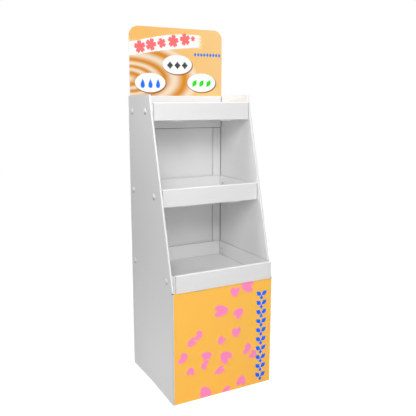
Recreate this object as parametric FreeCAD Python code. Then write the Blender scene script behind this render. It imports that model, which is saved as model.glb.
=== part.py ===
import FreeCAD
import Part
import math
import os

# A three-tier cardboard display stand, in millimetres. It stands on z = 0 and faces -Y, and
# every depth below is measured forward from the flat back.
#
# The body is one folded sheet: a closed tube below, and above it a back with two raked
# sides. Each side folds over its raked front edge into a second ply, which ends in a flange
# against the back. The back folds over at the top into a strip that holds the header board.
# Three folded trays are riveted between the sides.

# Body
STAND_WIDTH = 450.0
BASE_DEPTH = 416.0
TOP_DEPTH = 223.0
SIDE_HEIGHT = 1188.0
FRONT_HEIGHT = 452.0
BODY_BOARD = 4.0
BODY_CORNER_RADIUS = 3.5
HEM_RADIUS = 3.0
LINER_SKIRT = 60.0
FLANGE_WIDTH = 40.0
STRIP_HEIGHT = 138.0
FOOT_RELIEF_HEIGHT = 6.0
FOOT_RELIEF_INSET = 30.0
FOLD_HOLE_RADIUS = 2.5

# Header board
HEADER_RISE = 282.0
HEADER_SIDE_INSET = 6.0
HEADER_BOARD = 3.0
HEADER_CORNER_RADIUS = 40.0
TONGUE_SIDE_INSET = 39.0
TONGUE_DEPTH = 110.0
TONGUE_CHAMFER = 12.0

# Trays
TRAY_BOARD = 4.0
TRAY_FOLD_RADIUS = 3.0
LIP_HEIGHT = 70.0
TRAY_WALL_HEIGHT = 68.0
TRAY_CORNER_GAP = 3.0
LIP_FLAP_LENGTH = 60.0
LIP_FLAP_DROP = 7.0
TAB_WIDTH = 51.0
TAB_OFFSET = 110.0
TAB_DROP = 4.0
TOP_TRAY_DROP = 100.0
TOP_LIP_SETBACK = 9.2
MIDDLE_TRAY_RISE = 309.0
MIDDLE_LIP_SETBACK = 21.5
BOTTOM_LIP_OVERHANG = 7.5

# Push rivets: a domed button with a hollow shank outside, a socket with a plug inside
RIVET_HEAD_RADIUS = 11.0
RIVET_HEAD_HEIGHT = 3.4
RIVET_RIM = 1.0
RIVET_SHANK_RADIUS = 4.0
RIVET_PLUG_RADIUS = 2.2
RIVET_PLUG_LENGTH = 10.0
SOCKET_RADIUS = 6.0
SOCKET_THICKNESS = 2.0
RIVET_HEIGHT = 37.0
RIVET_FROM_LIP = 60.0
RIVET_FROM_REAR = 30.0
RIVET_SIDES = 20
DOME_STEPS = 3

# Clearances
PLY_GAP = 0.3
LIP_PLAY = 2.0
NOTCH_PLAY = 1.0
RIVET_PLAY = 0.4
PLUG_PLAY = 0.2
CUT_MARGIN = 20.0

# Worked out from the sizes above
HALF_WIDTH = STAND_WIDTH / 2
LINER_OUTSIDE = HALF_WIDTH - BODY_BOARD - PLY_GAP
LINER_INSIDE = LINER_OUTSIDE - BODY_BOARD
LINER_BOTTOM = FRONT_HEIGHT - LINER_SKIRT
FLANGE_DEPTH = BODY_BOARD + PLY_GAP + BODY_BOARD
POCKET_DEPTH = BODY_BOARD + HEADER_BOARD + 2 * PLY_GAP
STRIP_DEPTH = POCKET_DEPTH + BODY_BOARD
STRIP_BOTTOM = SIDE_HEIGHT - STRIP_HEIGHT
STRIP_HALF_WIDTH = LINER_INSIDE - PLY_GAP
RAKE_RUN = BASE_DEPTH - TOP_DEPTH
RAKE_RISE = SIDE_HEIGHT - FRONT_HEIGHT
RAKE_LENGTH = math.hypot(RAKE_RUN, RAKE_RISE)
HEM_SETBACK = BODY_BOARD * RAKE_LENGTH / RAKE_RISE
HEADER_TOP = SIDE_HEIGHT + HEADER_RISE
HEADER_HALF_WIDTH = HALF_WIDTH - HEADER_SIDE_INSET
TONGUE_HALF_WIDTH = HEADER_HALF_WIDTH - TONGUE_SIDE_INSET
TRAY_HALF_WIDTH = LINER_INSIDE - PLY_GAP
LIP_HALF_WIDTH = TRAY_HALF_WIDTH - LIP_PLAY
LIP_THICKNESS = 3 * TRAY_BOARD + 2 * PLY_GAP
TOP_TRAY_HEIGHT = SIDE_HEIGHT - TOP_TRAY_DROP
MIDDLE_TRAY_HEIGHT = FRONT_HEIGHT + MIDDLE_TRAY_RISE
BOTTOM_LIP_DEPTH = BASE_DEPTH + BOTTOM_LIP_OVERHANG
RIVET_GRIP = HALF_WIDTH - TRAY_HALF_WIDTH + TRAY_BOARD
CENTRE_SHIFT = BOTTOM_LIP_DEPTH / 2


def rake_depth(height):
    """Depth of the sides' raked edge at a height."""
    return TOP_DEPTH + (SIDE_HEIGHT - height) * RAKE_RUN / RAKE_RISE


# Each tray: name, height of its underside, depth of its lip, depth of its back wall
TRAYS = [
    ("top", TOP_TRAY_HEIGHT, rake_depth(TOP_TRAY_HEIGHT) - TOP_LIP_SETBACK,
     STRIP_DEPTH + PLY_GAP),
    ("middle", MIDDLE_TRAY_HEIGHT, rake_depth(MIDDLE_TRAY_HEIGHT) - MIDDLE_LIP_SETBACK,
     FLANGE_DEPTH + PLY_GAP),
    ("bottom", FRONT_HEIGHT, BOTTOM_LIP_DEPTH, FLANGE_DEPTH + PLY_GAP),
]


def block(x_low, x_high, depth_front, depth_back, z_low, z_high):
    """Box between two depths, measured forward from the back of the stand."""
    corner = FreeCAD.Vector(x_low, -depth_front, z_low)
    return Part.makeBox(x_high - x_low, depth_front - depth_back, z_high - z_low, corner)


def centred_block(half_width, depth_front, depth_back, z_low, z_high):
    """Box that is centred on the stand's width."""
    return block(-half_width, half_width, depth_front, depth_back, z_low, z_high)


def side_plate(outline, x_low, x_high):
    """Plate with a (depth, height) outline, between two places across the width."""
    corners = [FreeCAD.Vector(x_low, -depth, height) for depth, height in outline]
    face = Part.Face(Part.makePolygon(corners + corners[:1]))
    return face.extrude(FreeCAD.Vector(x_high - x_low, 0, 0))


def both_sides(shape):
    """A shape of the right-hand side and its mirror image on the left."""
    return [shape, shape.mirror(FreeCAD.Vector(0, 0, 0), FreeCAD.Vector(1, 0, 0))]


def rounded(shape, radius, low, high):
    """Shape with each straight edge rounded that lies whole between two corners."""
    region = FreeCAD.BoundBox(*low, *high)
    edges = [edge for edge in shape.Edges if region.isInside(edge.BoundBox)]
    return shape.makeFillet(radius, edges)


def joined(shapes):
    """One clean solid of shapes that touch or overlap."""
    return shapes[0].multiFuse(shapes[1:]).removeSplitter()


def rivet_places():
    """Name, depth and height of each rivet on one side: a rear and a front one per tray."""
    places = []
    for name, height, lip_depth, rear_depth in TRAYS:
        places.append((name + "_rear", rear_depth + RIVET_FROM_REAR, height + RIVET_HEIGHT))
        places.append((name + "_front", lip_depth - RIVET_FROM_LIP, height + RIVET_HEIGHT))
    return places


def outer_tube():
    """The tube of front, sides and back, with all that is in front of the rake cut off."""
    outside = centred_block(HALF_WIDTH, BASE_DEPTH, 0, 0, SIDE_HEIGHT)
    upright = [edge for edge in outside.Edges if edge.BoundBox.ZLength > SIDE_HEIGHT / 2]
    outside = outside.makeFillet(BODY_CORNER_RADIUS, upright)
    inside = centred_block(HALF_WIDTH - BODY_BOARD, BASE_DEPTH - BODY_BOARD, BODY_BOARD,
                           -CUT_MARGIN, SIDE_HEIGHT + CUT_MARGIN)
    above_rake = side_plate([
        (BASE_DEPTH + CUT_MARGIN, FRONT_HEIGHT),
        (BASE_DEPTH - HEM_SETBACK, FRONT_HEIGHT),
        (TOP_DEPTH - HEM_SETBACK, SIDE_HEIGHT),
        (TOP_DEPTH - HEM_SETBACK, SIDE_HEIGHT + CUT_MARGIN),
        (BASE_DEPTH + CUT_MARGIN, SIDE_HEIGHT + CUT_MARGIN),
    ], -HALF_WIDTH - CUT_MARGIN, HALF_WIDTH + CUT_MARGIN)
    return outside.cut([inside, above_rake])


def liner():
    """Inner ply of the right-hand side, from the raked hem back to its corner."""
    front_depth = BASE_DEPTH - BODY_BOARD - PLY_GAP
    rear_depth = BODY_BOARD + PLY_GAP
    return side_plate([
        (rear_depth, LINER_BOTTOM),
        (front_depth, LINER_BOTTOM),
        (front_depth, FRONT_HEIGHT),
        (BASE_DEPTH - HEM_SETBACK, FRONT_HEIGHT),
        (TOP_DEPTH - HEM_SETBACK, SIDE_HEIGHT),
        (rear_depth, SIDE_HEIGHT),
    ], LINER_INSIDE, LINER_OUTSIDE)


def flange():
    """Rear flange of the right-hand liner, flat against the back, below the strip."""
    return block(LINER_INSIDE - FLANGE_WIDTH, LINER_OUTSIDE, FLANGE_DEPTH,
                 BODY_BOARD + PLY_GAP, LINER_BOTTOM, STRIP_BOTTOM - PLY_GAP)


def hem():
    """Fold along the right-hand raked edge that joins the two plies, with a rounded nose."""
    bar = block(LINER_INSIDE, HALF_WIDTH, 0, -BODY_BOARD, -CUT_MARGIN, RAKE_LENGTH + CUT_MARGIN)
    bar = rounded(bar, HEM_RADIUS,
                  (0, -PLY_GAP, -2 * CUT_MARGIN),
                  (STAND_WIDTH, PLY_GAP, RAKE_LENGTH + 2 * CUT_MARGIN))
    lean = math.degrees(math.atan2(RAKE_RUN, RAKE_RISE))
    bar.rotate(FreeCAD.Vector(0, 0, 0), FreeCAD.Vector(1, 0, 0), -lean)
    bar.translate(FreeCAD.Vector(0, -BASE_DEPTH, FRONT_HEIGHT))
    raked_part = centred_block(HALF_WIDTH, BASE_DEPTH, 0, FRONT_HEIGHT, SIDE_HEIGHT)
    return bar.common(raked_part)


def header_strip():
    """The back's top, folded forward and down to make the header's pocket."""
    strip = centred_block(STRIP_HALF_WIDTH, STRIP_DEPTH, POCKET_DEPTH, STRIP_BOTTOM, SIDE_HEIGHT)
    fold = centred_block(STRIP_HALF_WIDTH, STRIP_DEPTH, 0, SIDE_HEIGHT - BODY_BOARD, SIDE_HEIGHT)
    return rounded(joined([strip, fold]), HEM_RADIUS,
                   (-HALF_WIDTH, -STRIP_DEPTH - PLY_GAP, SIDE_HEIGHT - PLY_GAP),
                   (HALF_WIDTH, -STRIP_DEPTH + PLY_GAP, SIDE_HEIGHT + PLY_GAP))


def header_slot():
    """Slot through the top fold, into the pocket, for the header's tongue."""
    return centred_block(TONGUE_HALF_WIDTH + NOTCH_PLAY, POCKET_DEPTH, BODY_BOARD,
                         STRIP_BOTTOM, SIDE_HEIGHT + CUT_MARGIN)


def foot_reliefs():
    """Shallow cut under both sides, so that the stand rests on its corners."""
    middle = BASE_DEPTH / 2
    return side_plate([
        (FOOT_RELIEF_INSET, 0),
        (FOOT_RELIEF_INSET, -CUT_MARGIN),
        (BASE_DEPTH - FOOT_RELIEF_INSET, -CUT_MARGIN),
        (BASE_DEPTH - FOOT_RELIEF_INSET, 0),
        (middle, FOOT_RELIEF_HEIGHT),
    ], -HALF_WIDTH - CUT_MARGIN, HALF_WIDTH + CUT_MARGIN)


def tab_notches():
    """Notches in the front panel's top edge, which take the bottom tray's locking tabs."""
    half_notch = TAB_WIDTH / 2 + NOTCH_PLAY
    notch = block(TAB_OFFSET - half_notch, TAB_OFFSET + half_notch, BASE_DEPTH + CUT_MARGIN,
                  BASE_DEPTH - BODY_BOARD, FRONT_HEIGHT - TAB_DROP - NOTCH_PLAY,
                  FRONT_HEIGHT + CUT_MARGIN)
    return both_sides(notch)


def fold_holes():
    """Round hole at each end of the front panel's top edge, where three folds meet."""
    start = FreeCAD.Vector(HALF_WIDTH - FOLD_HOLE_RADIUS, -BASE_DEPTH - CUT_MARGIN, FRONT_HEIGHT)
    length = CUT_MARGIN + HEM_SETBACK
    return both_sides(Part.makeCylinder(FOLD_HOLE_RADIUS, length, start, FreeCAD.Vector(0, 1, 0)))


def rivet_holes():
    """Holes through both plies and the tray wall of each side, one for each rivet."""
    holes = []
    for _, depth, height in rivet_places():
        start = FreeCAD.Vector(TRAY_HALF_WIDTH - 2 * TRAY_BOARD, -depth, height)
        hole = Part.makeCylinder(RIVET_SHANK_RADIUS + RIVET_PLAY, RIVET_GRIP + 2 * TRAY_BOARD,
                                 start, FreeCAD.Vector(1, 0, 0))
        holes.extend(both_sides(hole))
    return holes


def body_sleeve():
    """The whole body, folded from one sheet."""
    walls = joined([outer_tube()] + both_sides(liner()) + both_sides(hem())
                   + both_sides(flange()) + [header_strip()])
    return walls.cut([header_slot(), foot_reliefs()] + tab_notches() + fold_holes()
                     + rivet_holes())


def tray_walls(height, lip_depth, rear_depth):
    """Floor, back wall and side walls, with the sides stepped down where the lip covers them."""
    top = height + TRAY_WALL_HEIGHT
    covered_top = height + LIP_HEIGHT - TRAY_BOARD - LIP_FLAP_DROP
    flap_depth = lip_depth - TRAY_BOARD - PLY_GAP
    covered_depth = lip_depth - LIP_THICKNESS - PLY_GAP
    side = side_plate([
        (rear_depth, height),
        (flap_depth, height),
        (flap_depth, covered_top),
        (covered_depth, covered_top),
        (covered_depth, top),
        (rear_depth, top),
    ], TRAY_HALF_WIDTH - TRAY_BOARD, TRAY_HALF_WIDTH)
    flap = block(TRAY_HALF_WIDTH - LIP_FLAP_LENGTH, TRAY_HALF_WIDTH, flap_depth,
                 flap_depth - TRAY_BOARD, height + TRAY_BOARD + PLY_GAP, covered_top)
    floor = centred_block(TRAY_HALF_WIDTH, lip_depth, rear_depth, height, height + TRAY_BOARD)
    back = centred_block(TRAY_HALF_WIDTH - TRAY_BOARD - TRAY_CORNER_GAP,
                         rear_depth + TRAY_BOARD, rear_depth, height, top)
    return [floor, back] + both_sides(side) + both_sides(flap)


def lip_plies(height, lip_depth):
    """Outer ply, rolled top and inner ply of a tray's lip."""
    top = height + LIP_HEIGHT
    inner_depth = lip_depth - LIP_THICKNESS
    outer_ply = centred_block(TRAY_HALF_WIDTH, lip_depth, lip_depth - TRAY_BOARD, height, top)
    rolled_top = centred_block(TRAY_HALF_WIDTH, lip_depth, inner_depth, top - TRAY_BOARD, top)
    inner_ply = centred_block(TRAY_HALF_WIDTH - TRAY_BOARD - PLY_GAP, inner_depth + TRAY_BOARD,
                              inner_depth, height + TRAY_BOARD + PLY_GAP, top)
    return [outer_ply, rolled_top, inner_ply]


def lip_end_gaps(height, lip_depth):
    """Room beside both ends of the lip, so that it slides in between the sides."""
    top = height + LIP_HEIGHT
    front = block(LIP_HALF_WIDTH, HALF_WIDTH, lip_depth + CUT_MARGIN,
                  lip_depth - TRAY_BOARD - PLY_GAP, height - CUT_MARGIN, top + CUT_MARGIN)
    over_flap = block(LIP_HALF_WIDTH, HALF_WIDTH, lip_depth, lip_depth - LIP_THICKNESS - PLY_GAP,
                      top - TRAY_BOARD - PLY_GAP, top + CUT_MARGIN)
    return both_sides(front) + both_sides(over_flap)


def locking_tabs(height, lip_depth, play):
    """Tabs of the inner ply that lock through the floor, or with some play, their slots."""
    inner_depth = lip_depth - LIP_THICKNESS
    half_width = TAB_WIDTH / 2 + play
    tab = block(TAB_OFFSET - half_width, TAB_OFFSET + half_width,
                inner_depth + TRAY_BOARD + play, inner_depth - play,
                height - TAB_DROP, height + TRAY_BOARD + PLY_GAP)
    return both_sides(tab)


def tray(height, lip_depth, rear_depth):
    """One tray, folded from one sheet, with a lip of two plies round the tucked-in flaps."""
    folded = joined(tray_walls(height, lip_depth, rear_depth) + lip_plies(height, lip_depth))
    top = height + LIP_HEIGHT
    folded = rounded(folded, TRAY_FOLD_RADIUS,
                     (-HALF_WIDTH, -lip_depth - PLY_GAP, top - PLY_GAP),
                     (HALF_WIDTH, -lip_depth + LIP_THICKNESS + PLY_GAP, top + PLY_GAP))
    folded = rounded(folded, TRAY_FOLD_RADIUS,
                     (-HALF_WIDTH, -lip_depth - PLY_GAP, height - PLY_GAP),
                     (HALF_WIDTH, PLY_GAP, height + PLY_GAP))
    folded = folded.cut(locking_tabs(height, lip_depth, PLY_GAP)
                        + lip_end_gaps(height, lip_depth) + rivet_holes())
    return joined([folded] + locking_tabs(height, lip_depth, 0))


def header_board():
    """Printed board above the stand, with a tongue that drops into the strip's pocket."""
    radius = HEADER_CORNER_RADIUS
    panel = centred_block(HEADER_HALF_WIDTH, POCKET_DEPTH - PLY_GAP, BODY_BOARD + PLY_GAP,
                          SIDE_HEIGHT, HEADER_TOP)
    corners = [edge for edge in panel.Edges
               if edge.BoundBox.ZMin > HEADER_TOP - radius and edge.BoundBox.XLength < radius]
    panel = panel.makeFillet(radius, corners)
    tongue = centred_block(TONGUE_HALF_WIDTH, POCKET_DEPTH - PLY_GAP, BODY_BOARD + PLY_GAP,
                           SIDE_HEIGHT - TONGUE_DEPTH, SIDE_HEIGHT)
    tips = [edge for edge in tongue.Edges
            if edge.BoundBox.ZMax < SIDE_HEIGHT - TONGUE_DEPTH / 2 and edge.BoundBox.XLength < radius]
    return joined([panel, tongue.makeChamfer(TONGUE_CHAMFER, tips)])


def ring(inward, radius):
    """Corners of a many-sided ring round the X axis, or one point where the radius is none."""
    if radius == 0:
        return [FreeCAD.Vector(inward, 0, 0)]
    angles = [2 * math.pi * side / RIVET_SIDES for side in range(RIVET_SIDES)]
    return [FreeCAD.Vector(inward, radius * math.cos(a), radius * math.sin(a)) for a in angles]


def band(first, second):
    """Flat faces between two rings, either of which may be a point."""
    faces = []
    for side in range(RIVET_SIDES):
        after = (side + 1) % RIVET_SIDES
        corners = [first[side % len(first)], first[after % len(first)],
                   second[after % len(second)], second[side % len(second)]]
        loop = [corner for place, corner in enumerate(corners) if corner != corners[place - 1]]
        faces.append(Part.Face(Part.makePolygon(loop + loop[:1])))
    return faces


def turned(outline):
    """Many-sided solid turned round the X axis, from (inward, radius) points along it."""
    rings = [ring(inward, radius) for inward, radius in outline]
    faces = []
    for first, second in zip(rings, rings[1:]):
        faces.extend(band(first, second))
    solid = Part.makeSolid(Part.makeShell(faces))
    if solid.Volume < 0:
        solid.reverse()
    return solid


def dome_points():
    """Crown and flank of the button's head, as (inward, radius) points on a round dome."""
    crown = RIVET_HEAD_HEIGHT - RIVET_RIM
    dome_radius = (RIVET_HEAD_RADIUS ** 2 + crown ** 2) / (2 * crown)
    edge_angle = math.asin(RIVET_HEAD_RADIUS / dome_radius)
    points = []
    for step in range(DOME_STEPS + 1):
        angle = edge_angle * step / DOME_STEPS
        inward = dome_radius * (1 - math.cos(angle)) - RIVET_HEAD_HEIGHT
        points.append((inward, dome_radius * math.sin(angle)))
    return points


def rivet_button():
    """Domed head and hollow shank, with its seat at x = 0 and the shank along +X."""
    bore_radius = RIVET_PLUG_RADIUS + PLUG_PLAY
    bore_start = RIVET_GRIP - RIVET_PLUG_LENGTH - PLUG_PLAY
    return turned(dome_points() + [
        (0, RIVET_HEAD_RADIUS),
        (0, RIVET_SHANK_RADIUS),
        (RIVET_GRIP, RIVET_SHANK_RADIUS),
        (RIVET_GRIP, bore_radius),
        (bore_start, bore_radius),
        (bore_start, 0),
    ])


def rivet_socket():
    """Flat cap on the tray's inner wall, with a plug that fills the button's shank."""
    return turned([
        (RIVET_GRIP + SOCKET_THICKNESS, 0),
        (RIVET_GRIP + SOCKET_THICKNESS, SOCKET_RADIUS),
        (RIVET_GRIP, SOCKET_RADIUS),
        (RIVET_GRIP, RIVET_PLUG_RADIUS),
        (RIVET_GRIP - RIVET_PLUG_LENGTH, RIVET_PLUG_RADIUS),
        (RIVET_GRIP - RIVET_PLUG_LENGTH, 0),
    ])


def rivets():
    """Both halves of every rivet, by name, on the left and on the right."""
    halves = {"rivet_button": rivet_button(), "rivet_socket": rivet_socket()}
    pieces = {}
    for place, depth, height in rivet_places():
        for half, shape in halves.items():
            left = shape.copy()
            left.translate(FreeCAD.Vector(-HALF_WIDTH, -depth, height))
            right = left.mirror(FreeCAD.Vector(0, 0, 0), FreeCAD.Vector(1, 0, 0))
            pieces[f"{half}_{place}_left"] = left
            pieces[f"{half}_{place}_right"] = right
    return pieces


def all_pieces():
    """Every piece of the stand, by name."""
    pieces = {"body_sleeve": body_sleeve(), "header_board": header_board()}
    for name, height, lip_depth, rear_depth in TRAYS:
        pieces["tray_" + name] = tray(height, lip_depth, rear_depth)
    pieces.update(rivets())
    return pieces


os.makedirs("parts", exist_ok=True)
for node, shape in all_pieces().items():
    shape.translate(FreeCAD.Vector(0, CENTRE_SHIFT, 0))
    shape.exportStep(f"parts/{node}.step")
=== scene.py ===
"""Looks of the cardboard display stand: board finishes, prints, rivets, light and camera."""

import logging
import math
from dataclasses import dataclass
from enum import Enum
from typing import Any

import bmesh
import bpy
from mathutils import Matrix, Vector


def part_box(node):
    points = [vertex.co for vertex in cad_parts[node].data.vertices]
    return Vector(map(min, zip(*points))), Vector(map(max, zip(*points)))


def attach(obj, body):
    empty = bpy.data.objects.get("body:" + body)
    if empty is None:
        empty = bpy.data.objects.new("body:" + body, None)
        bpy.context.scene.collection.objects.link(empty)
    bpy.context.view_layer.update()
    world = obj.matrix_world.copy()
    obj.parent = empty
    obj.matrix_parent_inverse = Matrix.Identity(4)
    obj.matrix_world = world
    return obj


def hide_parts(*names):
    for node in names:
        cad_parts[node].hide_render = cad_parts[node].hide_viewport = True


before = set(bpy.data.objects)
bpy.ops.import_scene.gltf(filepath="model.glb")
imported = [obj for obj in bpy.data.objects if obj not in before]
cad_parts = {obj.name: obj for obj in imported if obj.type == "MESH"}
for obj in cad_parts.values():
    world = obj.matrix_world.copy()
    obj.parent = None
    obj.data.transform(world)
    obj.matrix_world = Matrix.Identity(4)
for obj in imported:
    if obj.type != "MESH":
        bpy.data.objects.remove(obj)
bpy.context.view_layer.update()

LOG = logging.getLogger("stand")
MM = 0.001
ROOT = "root"
FLOAT_SOCKET = "NodeSocketFloat"
COLOUR_SOCKET = "NodeSocketColor"
VECTOR_SOCKET = "NodeSocketVector"
NO_LIGHT = (0.0, 0.0, 0.0, 1.0)
FULL_LIGHT = (1.0, 1.0, 1.0, 1.0)
WELD = 1e-6

Colour = tuple[float, float, float]
Point = tuple[float, float]
Socket = bpy.types.NodeSocket


class Ink(Enum):
    """Printed and moulded colours, and colours of painted shade, as they look on screen, from 0 to
    255.
    """

    BOARD = (238, 238, 238)
    PANEL_ORANGE = (255, 194, 82)
    HEADER_ORANGE = (255, 197, 110)
    HEADER_PALE = (255, 211, 140)
    RIPPLE_DARK = (226, 144, 12)
    RIPPLE_CREAM = (255, 233, 204)
    PETAL_PINK = (255, 141, 196)
    CORAL = (255, 106, 108)
    BLUE = (0, 112, 255)
    SOFT_BLUE = (40, 122, 228)
    GREEN = (44, 214, 28)
    CHARCOAL = (62, 62, 64)
    WHITE = (252, 252, 252)
    OVAL_SHADOW = (122, 74, 10)
    FLUTE = (214, 209, 200)
    # painted shade in the open flutes of a cut edge
    HOLLOW = (150, 146, 140)
    RIVET = (244, 244, 245)
    # painted shade: laid into inner corners, gaps, holes, lip ends, wall tops and under rivet
    # heads
    CREASE = (84, 82, 80)
    # bluish grey of unprinted board at the front, beside the print
    SCORED = (204, 211, 222)

    def linear(self) -> Colour:
        """The colour in the renderer's own linear values."""
        return tuple(linear_from_screen(channel / 255) for channel in self.value)

    def rgba(self) -> tuple[float, float, float, float]:
        """The linear colour with full opacity."""
        return (*self.linear(), 1.0)


class Tray(Enum):
    """The three trays, by the name of their solid."""

    TOP = "tray_top"
    MIDDLE = "tray_middle"
    BOTTOM = "tray_bottom"


def linear_from_screen(value: float) -> float:
    """Turns a screen value into a linear one.

    Args:
        value: Screen value from 0 to 1.

    Returns:
        The linear value from 0 to 1.
    """
    return value / 12.92 if value <= 0.04045 else ((value + 0.055) / 1.055) ** 2.4


@dataclass(frozen=True)
class StandSizes:
    """Places on the stand in metres, read from its solids."""

    half_width: float
    front: float
    back: float
    top: float
    panel_top: float
    header_front: float
    header_half_width: float
    header_top: float
    body_board: float = 4 * MM
    tray_board: float = 4 * MM
    ply_gap: float = 0.3 * MM
    tab_drop: float = 4 * MM

    @classmethod
    def from_frame(cls) -> "StandSizes":
        """Reads the sizes from the boxes of the solids."""
        low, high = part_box("body_sleeve")
        header_low, header_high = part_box("header_board")
        tray_low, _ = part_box(Tray.BOTTOM.value)
        return cls(
            half_width=high.x,
            front=low.y,
            back=high.y,
            top=high.z,
            panel_top=tray_low.z + cls.tab_drop,
            header_front=header_low.y,
            header_half_width=header_high.x,
            header_top=header_high.z,
        )


class Wiring:
    """Places and links the nodes of one node tree."""

    def __init__(self, tree: bpy.types.NodeTree) -> None:
        """Keeps the tree that the nodes go into."""
        self.tree = tree

    def add(self, kind: str, **settings: Any) -> bpy.types.Node:
        """Adds a node and sets its options.

        Args:
            kind: Type of the node.
            **settings: Options of the node, by name.

        Returns:
            The new node.
        """
        node = self.tree.nodes.new(kind)
        for name, value in settings.items():
            setattr(node, name, value)
        return node

    def feed(self, socket: Socket, value: Any) -> None:
        """Links another socket to this one, or sets a plain value on it."""
        if isinstance(value, bpy.types.NodeSocket):
            self.tree.links.new(value, socket)
        elif value is not None:
            socket.default_value = value

    def math(self, operation: str, *values: Any, clamp: bool = False) -> Socket:
        """Adds one step of arithmetic.

        Args:
            operation: Name of the operation, such as "ADD".
            *values: Sockets or numbers.
            clamp: Whether the result stays between 0 and 1.

        Returns:
            The socket of the result.
        """
        node = self.add("ShaderNodeMath", operation=operation, use_clamp=clamp)
        for socket, value in zip(node.inputs, values):
            self.feed(socket, value)
        return node.outputs[0]

    def all_of(self, *masks: Any) -> Socket:
        """Mask that is 1 where every given mask is 1."""
        result = masks[0]
        for mask in masks[1:]:
            result = self.math("MULTIPLY", result, mask)
        return result

    def ramp(self, value: Any, low: float, high: float, out_low: float = 0.0,
             out_high: float = 1.0, smooth: bool = False) -> Socket:
        """Maps a value from one range to another, held at both ends.

        Args:
            value: The socket or number to map.
            low: Value that gives out_low.
            high: Value that gives out_high.
            out_low: Result at low.
            out_high: Result at high.
            smooth: Whether the change eases in and out.

        Returns:
            The socket of the result.
        """
        kind = "SMOOTHSTEP" if smooth else "LINEAR"
        node = self.add("ShaderNodeMapRange", interpolation_type=kind, clamp=True)
        for socket, item in zip(node.inputs[:5], (value, low, high, out_low, out_high)):
            self.feed(socket, item)
        return node.outputs[0]

    def blend(self, share: Any, first: Any, second: Any) -> Socket:
        """Mixes two colours.

        Args:
            share: How much of the second colour shows, from 0 to 1.
            first: The first colour.
            second: The second colour.

        Returns:
            The socket of the mixed colour.
        """
        node = self.add("ShaderNodeMix", data_type="RGBA")
        self.feed(node.inputs[0], share)
        self.feed(node.inputs[6], first)
        self.feed(node.inputs[7], second)
        return node.outputs[2]

    def noise(self, position: Any, scale: float, detail: float = 2.0) -> Socket:
        """Smooth random values over the surface.

        Args:
            position: Where the noise is read.
            scale: Waves per metre.
            detail: Layers of finer noise.

        Returns:
            The socket of the noise, about 0.5 on average.
        """
        node = self.add("ShaderNodeTexNoise")
        self.feed(node.inputs["Vector"], position)
        node.inputs["Scale"].default_value = scale
        node.inputs["Detail"].default_value = detail
        return node.outputs["Fac"]

    def split(self, vector: Socket) -> tuple[Socket, Socket, Socket]:
        """The three parts of a vector."""
        node = self.add("ShaderNodeSeparateXYZ")
        self.feed(node.inputs[0], vector)
        return tuple(node.outputs)

    def length(self, across: Any, up: Any) -> Socket:
        """Length of a straight line, from how far it goes each way."""
        return self.math("SQRT", self.math(
            "ADD", self.math("MULTIPLY", across, across), self.math("MULTIPLY", up, up)))

    def use(self, group: bpy.types.NodeTree, values: dict[str, Any]) -> bpy.types.Node:
        """Adds a shader group and feeds its inputs.

        Args:
            group: Tree of the group.
            values: Socket or plain value of each input, by name.

        Returns:
            The group node.
        """
        node = self.add("ShaderNodeGroup", node_tree=group)
        for label, value in values.items():
            self.feed(node.inputs[label], value)
        return node

    def position(self) -> Socket:
        """Place on the stand, in metres."""
        return self.add("ShaderNodeTexCoord").outputs["Object"]

    def normal(self) -> Socket:
        """Direction that the surface faces."""
        return self.add("ShaderNodeNewGeometry").outputs["True Normal"]


def new_material(name: str) -> tuple[bpy.types.Material, Wiring, bpy.types.Node]:
    """Makes a material.

    Args:
        name: Name of the material.

    Returns:
        The material, its wiring and its surface shader.
    """
    material = bpy.data.materials.new(name)
    material.use_nodes = True
    return material, Wiring(material.node_tree), material.node_tree.nodes["Principled BSDF"]


def dress_node(node: str, material: bpy.types.Material) -> None:
    """Gives one solid its material."""
    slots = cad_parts[node].data.materials
    slots.clear()
    slots.append(material)


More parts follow.
